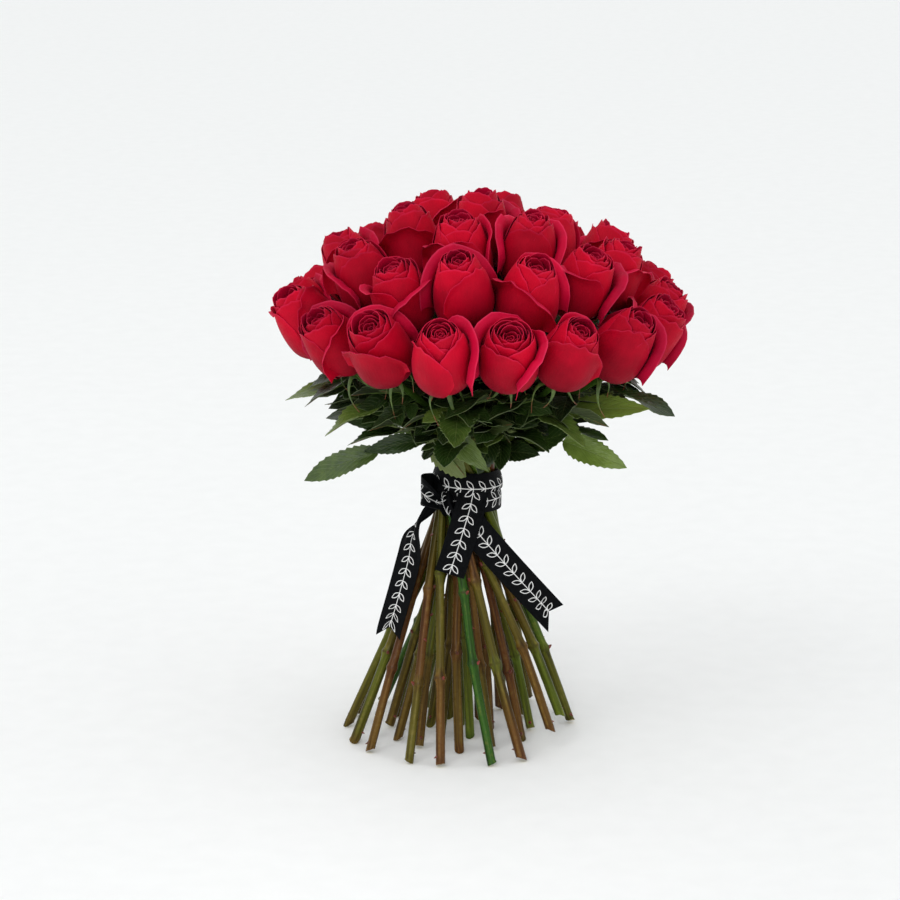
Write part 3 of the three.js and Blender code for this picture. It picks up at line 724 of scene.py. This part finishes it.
def ring_band(radius, middle, start, slant, crease):
    """A turn of ribbon round the neck, pulled in at its top edge and turned under below the crease."""

    def lay(way_across, way_along):
        angle = start + 2 * np.pi * way_along
        under = np.clip(crease - way_across, 0, 2)
        height = middle + RIBBON_WIDTH / 2 * (way_across + 2 * under) + slant * np.cos(angle - start)
        out = radius - 3.4 * np.clip(way_across, 0, 1) ** 1.5 - 1.3 * np.clip(under * 8, 0, 1)
        out = out + 0.5 * way_along * RIBBON_WALL + 0.15 * np.sin(5 * angle + 2 * way_across)
        return np.stack([LEAN + out * np.cos(angle), out * np.sin(angle), height], axis=1)

    return lay, 2 * math.pi * radius


# The ribbon's hanging ends. points is the middle line and sides the way across, a turned one for each
# point; gathers is how tight its first points are; forward ones have their vine growing downwards.
TAILS = {
    "centre": SimpleNamespace(
        points=[
            (11.5, -27.7, 217), (10, -28.4, 211), (7.8, -32, 202), (3, -36.5, 186), (-2.5, -40.5, 169),
            (-9, -44.5, 149.5),
        ],
        sides=[(1, 0, -0.33)],
        gathers=(0.97, 0.98, 1),
        notch=0,
        longer=0,
        hug=2.8,
        forward=True,
    ),
    "right": SimpleNamespace(
        points=[
            (-1, -30.2, 203), (6, -31.8, 193), (13.5, -33.5, 183), (33.5, -36, 160), (53.5, -35, 137),
            (73, -32, 114.5), (79.5, -30.5, 107),
        ],
        sides=[(0.75, 0.06, 0.66)],
        gathers=(0.8, 0.98),
        notch=9,
        longer=-5,
        hug=0,
        forward=False,
    ),
    "left": SimpleNamespace(
        points=[
            (-19, -17, 205), (-27.4, -17, 196.1), (-34.5, -18.5, 186.9), (-40.4, -21, 174.7),
            (-43, -24.5, 155.9), (-50, -29.5, 129.7), (-58.3, -36, 101.3), (-60, -38, 93),
        ],
        sides=[
            (-0.55, -0.75, 0.4), (-0.5, -0.8, 0.4), (-0.1, -0.99, 0.1), (0.55, -0.83, 0),
            (0.78, -0.62, 0), (0.8, -0.6, 0), (0.8, -0.6, 0), (0.8, -0.6, 0),
        ],
        gathers=(0.55, 0.6, 0.7, 0.95),
        notch=9,
        longer=0,
        hug=0,
        forward=True,
    ),
}
LOOP_INSIDE = 30.4
LOOP_BULGE = 10
LOOP_MIDDLE = 213.5
KNOT_ANGLE = 238 * DEGREE
LOOP_TIP = 194 * DEGREE


def loop():
    """The bow's one loop, a band bent back on itself beside the neck and pinched at the knot."""
    near, far = [], []
    for share in np.linspace(0, 1, 9):
        angle = between(KNOT_ANGLE, LOOP_TIP, share)
        centre = polar(1, angle)
        lift = [0, 0, LOOP_MIDDLE - 8.5 * (1 - ease(share * 1.35))]
        near.append(centre * LOOP_INSIDE + lift)
        far.append(centre * (LOOP_INSIDE + 2.4 + LOOP_BULGE * math.sin(0.86 * math.pi * share**1.2)) + lift)
    path = np.array([*far, *near[::-1]])
    path[:, 0] += LEAN
    pinch = [0.42, 0.46, 0.54, 0.66, 0.82, 0.95, 1, 1, 1]
    return band(path, [(0, 0, 1)], gathers=(*pinch, *pinch[::-1]), steps=3)


def knot():
    """The short turn of gathered ribbon that holds the bow."""
    centre = polar(32, KNOT_ANGLE, 205)
    centre[0] += LEAN
    out, aside = polar(1, KNOT_ANGLE), polar(1, KNOT_ANGLE + math.pi / 2)
    path = []
    for share in np.linspace(0, 1, 13):
        angle = 2 * math.pi * (share - 0.25)
        path.append(centre + out * 3.4 * math.cos(angle) + (UP * 7.5 - aside * 3) * math.sin(angle))
    return band(path, [aside + 0.3 * UP], gathers=[0.48] * 13, steps=3)


def coil():
    """Two turns of twisted twine, pulled tight under the ribbon."""
    turns = np.linspace(0, 2, 97)
    path = [polar(24.8, 2 * math.pi * t, NECK_HEIGHT - 0.9 + 1.9 * (t - 0.5)) for t in turns]
    path = np.array(path) + np.array([LEAN, 0, 0])
    return tube(path, [0.8] * len(path), strands=0.22)


# ---------------------------------------------------------------------------------------- finishes
class Value:
    """A number that a finish works out at each place. Arithmetic on it adds Math nodes."""

    def __init__(self, finish, socket):
        self.finish = finish
        self.socket = socket

    def math(self, operation, *others):
        values = {i: other for i, other in enumerate((self, *others))}
        return self.finish.add("ShaderNodeMath", {"operation": operation}, values)

    def __add__(self, other):
        return self.math("ADD", other)

    def __radd__(self, other):
        return self.math("ADD", other)

    def __sub__(self, other):
        return self.math("SUBTRACT", other)

    def __rsub__(self, other):
        return (self * -1) + other

    def __mul__(self, other):
        return self.math("MULTIPLY", other)

    def __rmul__(self, other):
        return self.math("MULTIPLY", other)

    def __lt__(self, other):
        return self.math("LESS_THAN", other)

    def __gt__(self, other):
        return self.math("GREATER_THAN", other)

    def __mod__(self, other):
        return self.math("FLOORED_MODULO", other)

    def __abs__(self):
        return self.math("ABSOLUTE")

    def sine(self):
        return self.math("SINE")


class Finish:
    """A material under way."""

    def __init__(self, name, **constants):
        self.material = bpy.data.materials.new(name)
        self.material.use_nodes = True
        self.nodes = self.material.node_tree.nodes
        self.nodes.clear()
        self.shader = self.nodes.new("ShaderNodeBsdfPrincipled")
        output = self.nodes.new("ShaderNodeOutputMaterial")
        self.material.node_tree.links.new(self.shader.outputs[0], output.inputs[0])
        for socket, value in constants.items():
            self.shader.inputs[socket.replace("_", " ")].default_value = value

    def add(self, kind, settings=(), values=(), output=0):
        node = self.nodes.new(kind)
        for setting, value in dict(settings).items():
            if setting == "stops":
                ramp = node.color_ramp
                while len(ramp.elements) < len(value):
                    ramp.elements.new(0.5)
                for element, (place, colour) in zip(ramp.elements, value):
                    element.position = place
                    element.color = (*colour, 1)
            else:
                setattr(node, setting, value)
        for socket, value in dict(values).items():
            self.set(node.inputs[socket], value)
        return Value(self, node.outputs[output])

    def set(self, socket, value):
        if isinstance(value, Value):
            self.material.node_tree.links.new(value.socket, socket)
        elif isinstance(value, tuple) and len(value) == 3 and socket.type == "RGBA":
            socket.default_value = (*value, 1)
        else:
            socket.default_value = value

    def paint(self, socket, value):
        self.set(self.shader.inputs[socket], value)

    def surface(self):
        """The way across and along the piece's own blade, tube or ribbon, from 0 to 1 or in pitches."""
        place = self.add("ShaderNodeUVMap", {"uv_map": "UVMap"})
        return (
            self.add("ShaderNodeSeparateXYZ", values={0: place}, output="X"),
            self.add("ShaderNodeSeparateXYZ", values={0: place}, output="Y"),
        )

    def tone(self):
        return self.add("ShaderNodeAttribute", {"attribute_name": "tone"}, output="Fac")

    def place(self):
        return self.add("ShaderNodeTexCoord", output="Object")

    def vector(self, x, y, z=0.0):
        return self.add("ShaderNodeCombineXYZ", values={"X": x, "Y": y, "Z": z})

    def noise(self, where, scale, detail=3.0):
        return self.add("ShaderNodeTexNoise", values={"Vector": where, "Scale": scale, "Detail": detail})

    def clamp(self, value):
        return self.add("ShaderNodeClamp", values={0: value})

    def ramp(self, value, stops):
        return self.add("ShaderNodeValToRGB", {"stops": stops}, {0: value})

    def mix(self, first, second, share, blend="MIX"):
        settings = {"data_type": "RGBA", "blend_type": blend, "clamp_factor": True}
        return self.add("ShaderNodeMix", settings, {0: share, 6: first, 7: second}, output=2)

    def relief(self, height, distance):
        values = {"Height": height, "Strength": 1.0, "Distance": distance * MM}
        self.paint("Normal", self.add("ShaderNodeBump", values=values))


def petal_finish(name, deep, full, rim):
    finish = Finish(
        name,
        Roughness=0.6,
        Specular_IOR_Level=0.09,
        Sheen_Weight=0.1,
        Sheen_Roughness=0.35,
        Sheen_Tint=(1, 0.12, 0.3, 1),
    )
    across, along = finish.surface()
    half_way = tuple(between(np.array(deep), np.array(full), 0.55))
    # Each petal is darker towards its base, a painted shade deep in the bloom, then its own red, and
    # lighter at the very rim, a painted highlight.
    body = finish.ramp(along, [(0, deep), (0.5, half_way), (0.975, full), (1, rim)])
    blotch = finish.noise(finish.place(), 70, 4)
    shades = [(0.25, (0.6, 0.55, 0.6)), (0.75, (1.12, 1.0, 1.0))]
    shade = finish.ramp(blotch * 0.55 + finish.tone() * 0.45, shades)
    finish.paint("Base Color", finish.mix(body, shade, 1.0, "MULTIPLY"))
    veins = finish.noise(finish.vector(across * 60, along * 5), 1, 2)
    finish.relief(veins + finish.noise(finish.place(), 900, 2) * 0.4, 0.25)
    return finish.material


def leaf_finish(name, dark, middle, light, vein, rough, gloss):
    finish = Finish(name, Specular_IOR_Level=gloss)
    across, along = finish.surface()
    off = abs(across - 0.5)
    rib_line = off * -60 + 1
    branch = (along * 9 - off * 6) % 1
    branches = 1 - abs(branch - 0.5) * 9
    lines = finish.clamp(rib_line) + finish.clamp(branches) * 0.5
    blotch = finish.noise(finish.place(), 120, 4)
    body = finish.ramp(blotch * 0.3 + finish.tone() * 0.85, [(0.12, dark), (0.5, middle), (1, light)])
    rim = finish.clamp(off * 30 - 14)
    finish.paint("Base Color", finish.mix(body, vein, lines * 0.4 + rim * 0.25))
    finish.paint("Roughness", blotch * 0.22 + rough)
    puckers = finish.noise(finish.vector(across * 7, along * 9, finish.tone() * 9), 1, 2)
    finish.relief(lines * -0.6 + puckers * 1.4 + finish.noise(finish.place(), 700, 2) * 0.3, 0.5)
    return finish.material


def bark_finish():
    """Bark that is brown, olive or green by turns along a stem, smooth and a little glossy."""
    finish = Finish("stem_bark", Specular_IOR_Level=0.12)
    around, along = finish.surface()
    tone = finish.tone()
    drift = finish.noise(finish.vector(along * 3, tone * 40), 1, 2)
    kinds = finish.ramp(
        tone * 0.75 + drift * 1.9 - 0.77,
        [
            (0.0, (0.02, 0.01, 0.003)),
            (0.14, (0.09, 0.029, 0.01)),
            (0.32, (0.12, 0.056, 0.012)),
            (0.46, (0.1, 0.07, 0.01)),
            (0.6, (0.09, 0.088, 0.01)),
            (0.85, (0.1, 0.14, 0.013)),
            (1.0, (0.026, 0.082, 0.009)),
        ],
    )
    streak = finish.noise(finish.vector(around * 9, along * 14, tone * 7), 1, 4)
    speck = finish.noise(finish.place(), 260, 5)
    scar = finish.ramp(speck * 0.5 + streak * 0.5, [(0.55, (0, 0, 0)), (0.75, (0.45, 0.45, 0.45))])
    worn = finish.mix(kinds, (0.26, 0.19, 0.05), scar)
    shade = finish.ramp(streak, [(0.32, (0.34, 0.3, 0.28)), (0.6, (1.08, 1.08, 1))])
    colour = finish.mix(worn, shade, 1.0, "MULTIPLY")
    knuckle = along * STEM_ROWS - len(STEM_STEPS) - 1
    away = abs(knuckle).math("MINIMUM", abs(knuckle - len(STEM_STEPS)))
    collar = finish.clamp(away * -3 + 0.7 + streak) * finish.clamp(streak * 4 - 1.6)
    colour = finish.mix(colour, (0.035, 0.014, 0.006), collar * 0.7)
    green = finish.ramp(along, [(0.55, (0, 0, 0)), (0.75, (1, 1, 1))])
    colour = finish.mix(colour, (0.03, 0.065, 0.008), green)
    pith = finish.ramp(speck, [(0.3, (0.3, 0.25, 0.1)), (0.7, (0.5, 0.42, 0.2))])
    finish.paint("Base Color", finish.mix(colour, pith, along < 1 / STEM_ROWS))
    finish.paint("Roughness", speck * 0.3 + 0.16)
    finish.relief(streak + speck * 0.5, 0.5)
    return finish.material


def green_finish(name, low, high, tip):
    """Sepals, ribs and stalks: pale green that reddens to the tip."""
    finish = Finish(name, Specular_IOR_Level=0.4, Roughness=0.45)
    across, along = finish.surface()
    blotch = finish.noise(finish.place(), 240, 3)
    body = finish.ramp(blotch, [(0.3, low), (0.7, high)])
    red = finish.ramp(along + blotch * 0.3, [(0.85, (0, 0, 0)), (1.2, (1, 1, 1))])
    finish.paint("Base Color", finish.mix(body, tip, red))
    finish.relief(finish.noise(finish.vector(across * 8, along * 3), 1, 2) + blotch, 0.2)
    return finish.material


def ribbon_finish(name, ink_strength):
    """Black ribbed cloth printed with a white vine: a line with a pair of outlined leaves each pitch."""
    finish = Finish(name, Specular_IOR_Level=0.045)
    across, along = finish.surface()
    off = abs(across - 0.5) * RIBBON_WIDTH
    step = (along % 1) * PRINT_PITCH - VINE_ROOT
    out = off * math.sin(VINE_SLOPE) + step * math.cos(VINE_SLOPE)
    beside = abs(off * math.cos(VINE_SLOPE) - step * math.sin(VINE_SLOPE))
    swell = (out * (math.pi / VINE_LEAF)).sine() * VINE_BELLY
    inside = (out > 0) * (out < VINE_LEAF)
    outline = (abs(beside - swell) < OUTLINE_INK) * inside
    line = off < LINE_INK
    ink = finish.clamp(outline + line) * ink_strength
    on_cloth = finish.vector(across * RIBBON_WIDTH, along * PRINT_PITCH)
    weave = finish.add(
        "ShaderNodeTexWave",
        {"wave_type": "BANDS", "bands_direction": "Y"},
        {"Vector": on_cloth, "Scale": 0.55, "Distortion": 0.4},
    )
    lint = finish.noise(finish.place(), 500, 4)
    cloth = finish.ramp(lint, [(0.3, (0.0012, 0.0014, 0.0018)), (0.75, (0.0045, 0.005, 0.006))])
    finish.paint("Base Color", finish.mix(cloth, (0.7, 0.7, 0.69), ink))
    finish.paint("Roughness", lint * 0.2 + 0.45)
    finish.relief(weave * 0.6 + ink * 0.5 + lint * 0.3, 0.12)
    return finish.material


def twine_finish():
    finish = Finish("twine_fibre", Roughness=0.85)
    fibre = finish.noise(finish.place(), 900, 4)
    finish.paint("Base Color", finish.ramp(fibre, [(0.3, (0.25, 0.17, 0.08)), (0.7, (0.5, 0.38, 0.2))]))
    finish.relief(fibre, 0.3)
    return finish.material


def floor_finish():
    finish = Finish("floor_paint", Roughness=0.7)
    grain = finish.noise(finish.place(), 40, 3)
    finish.paint("Base Color", finish.ramp(grain, [(0.3, (0.88, 0.885, 0.88)), (0.7, (0.9, 0.905, 0.9))]))
    finish.relief(grain, 0.2)
    return finish.material


# --------------------------------------------------------------------------------------- the scene
def finished(piece, slot, *nodes):
    """Hands a piece over: it rides on the bunch and stands for its solids, which it hides."""
    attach(piece, "root")
    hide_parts(*nodes)


def make_blooms(roses):
    # Each finish's three colours: the painted shade at a petal's base, the petal's own red, and the painted
    # highlight at its rim.
    back = petal_finish("petal_back", (0.12, 0.0, 0.006), (0.58, 0.001, 0.024), (0.68, 0.014, 0.065))
    velvet = petal_finish("petal_velvet", (0.22, 0.001, 0.014), (0.56, 0.002, 0.042), (0.7, 0.03, 0.1))
    counts = {}
    for rose in roses:
        ring = RINGS[rose.ring].name
        counts[ring] = counts.get(ring, 0) + 1
        number = f"{ring}_{counts[ring]:02d}"
        piece = bloom(rose, f"rose_{number}", [back, velvet])
        finished(piece, "petals", f"bloom_{number}")


def make_greens(roses):
    finishes = SimpleNamespace(
        bark=bark_finish(),
        thorn=green_finish("thorn_skin", (0.05, 0.025, 0.008), (0.22, 0.02, 0.015), (0.3, 0.05, 0.02)),
        sepal=green_finish("sepal_green", (0.035, 0.07, 0.012), (0.13, 0.2, 0.04), (0.24, 0.07, 0.03)),
        leaf=leaf_finish(
            "leaf_face",
            dark=(0.003, 0.009, 0.002),
            middle=(0.02, 0.05, 0.006),
            light=(0.2, 0.29, 0.045),
            vein=(0.26, 0.34, 0.1),
            rough=0.24,
            gloss=0.5,
        ),
        underside=leaf_finish(
            "leaf_underside",
            dark=(0.008, 0.014, 0.003),
            middle=(0.05, 0.075, 0.016),
            light=(0.22, 0.27, 0.09),
            vein=(0.26, 0.3, 0.12),
            rough=0.5,
            gloss=0.25,
        ),
    )
    middle = [rose for rose in roses if rose.ring < PAIRED_FROM]
    finished(greens(middle, "greens_middle", finishes), "greenery", "stems_middle")
    for number in range(PAIRED_FROM, len(RINGS)):
        ring = [rose for rose in roses if rose.ring == number]
        name = RINGS[number].name
        for pair in range(0, len(ring), 2):
            label = f"{name}_{pair // 2 + 1:02d}"
            piece = greens(ring[pair : pair + 2], f"greens_{label}", finishes)
            finished(piece, "greenery", f"stems_{label}")


def make_ribbon():
    printed, plain = ribbon_finish("ribbon_print", 1.0), ribbon_finish("ribbon_back", 0.0)

    def piece(name, strips, columns, rows, finishes):
        made = []
        for lay, length, forward in strips:
            along = length if forward else -length
            made.append(laid(name, columns, rows, [lay], finishes, wall=RIBBON_WALL, print_length=along))
        return together(name, made)

    upper = ring_band(radius=29.2, middle=218, start=180 * DEGREE, slant=1.4, crease=-0.3)
    lower = ring_band(radius=28.0, middle=206.4, start=30 * DEGREE, slant=-0.8, crease=-0.85)
    wrap = piece("ribbon_turns", [(*upper, False), (*lower, False)], 8, 96, [plain, printed])
    finished(wrap, "ribbon", "ribbon_wrap")
    bow_loop, bow_knot = loop(), knot()
    bow = piece("ribbon_loop", [(*bow_loop, False), (*bow_knot, True)], 10, 60, [printed, plain])
    finished(bow, "ribbon", "ribbon_bow")
    (bow_loop[1] + bow_knot[1]) * MM
    for name, tail in TAILS.items():
        strip = band(tail.points, tail.sides, tail.gathers, tail.notch, tail.longer, tail.hug)
        end = piece(f"ribbon_end_{name}", [(*strip, tail.forward)], 12, 60, [plain, printed])
        finished(end, "ribbon", f"ribbon_tail_{name}")
        area = RIBBON_WIDTH * (strip[1] - tail.notch / 2) * MM * MM
        strip[1] * MM


def make_twine():
    twine = laid("twine_turns", 9, 98, [coil()], [twine_finish()], closed=True)
    finished(twine, "twine", "binding_twine")


def light(kind, name, place, size, power, aim=0.25):
    """A lamp at a place in metres, aimed at a height over the origin."""
    lamp = bpy.data.lights.new(name, kind)
    lamp.energy = power
    if kind == "AREA":
        lamp.size = size
    else:
        lamp.shadow_soft_size = size
    holder = bpy.data.objects.new(name, lamp)
    holder.location = place
    holder.rotation_euler = (Vector((0, 0, aim)) - Vector(place)).to_track_quat("-Z", "Y").to_euler()
    bpy.context.scene.collection.objects.link(holder)
    return lamp


def make_studio():
    bpy.ops.object.select_all(action="DESELECT")
    bpy.ops.mesh.primitive_plane_add(size=FLOOR_SIZE, location=(0, 0, -FLOOR_DROP))
    floor = bpy.context.object
    floor.name = "floor"
    floor.data.materials.append(floor_finish())
    world = bpy.data.worlds.new("studio")
    world.use_nodes = True
    world.node_tree.nodes["Background"].inputs["Color"].default_value = (0.98, 0.995, 1, 1)
    world.node_tree.nodes["Background"].inputs["Strength"].default_value = 1.0
    bpy.context.scene.world = world
    light("AREA", "soft_key", place=(-1.4, -1.6, 2.6), size=1.4, power=14.5)
    light("AREA", "soft_fill", place=(2.0, -1.4, 1.9), size=1.4, power=2)
    low = light("SPOT", "low_front", place=(-0.2, -1.5, 0.8), size=0.2, power=28, aim=0.0)
    low.spot_size, low.spot_blend = 20 * DEGREE, 1.0
    camera = bpy.data.cameras.new("camera")
    camera.lens = CAMERA_LENS
    holder = bpy.data.objects.new("camera", camera)
    holder.location = CAMERA_PLACE
    holder.rotation_euler = ((90 - CAMERA_TILT) * DEGREE, 0, 0)
    bpy.context.scene.collection.objects.link(holder)
    bpy.context.scene.camera = holder
    bpy.context.scene.view_settings.view_transform = "Standard"


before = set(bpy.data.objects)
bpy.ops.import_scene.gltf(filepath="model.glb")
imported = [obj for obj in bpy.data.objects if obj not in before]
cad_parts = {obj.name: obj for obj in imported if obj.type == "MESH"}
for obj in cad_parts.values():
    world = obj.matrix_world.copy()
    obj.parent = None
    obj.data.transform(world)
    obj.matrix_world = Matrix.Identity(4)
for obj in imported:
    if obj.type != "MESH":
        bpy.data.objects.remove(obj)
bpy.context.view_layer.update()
all_roses = place_roses()
make_studio()
make_blooms(all_roses)
make_greens(all_roses)
make_ribbon()
make_twine()
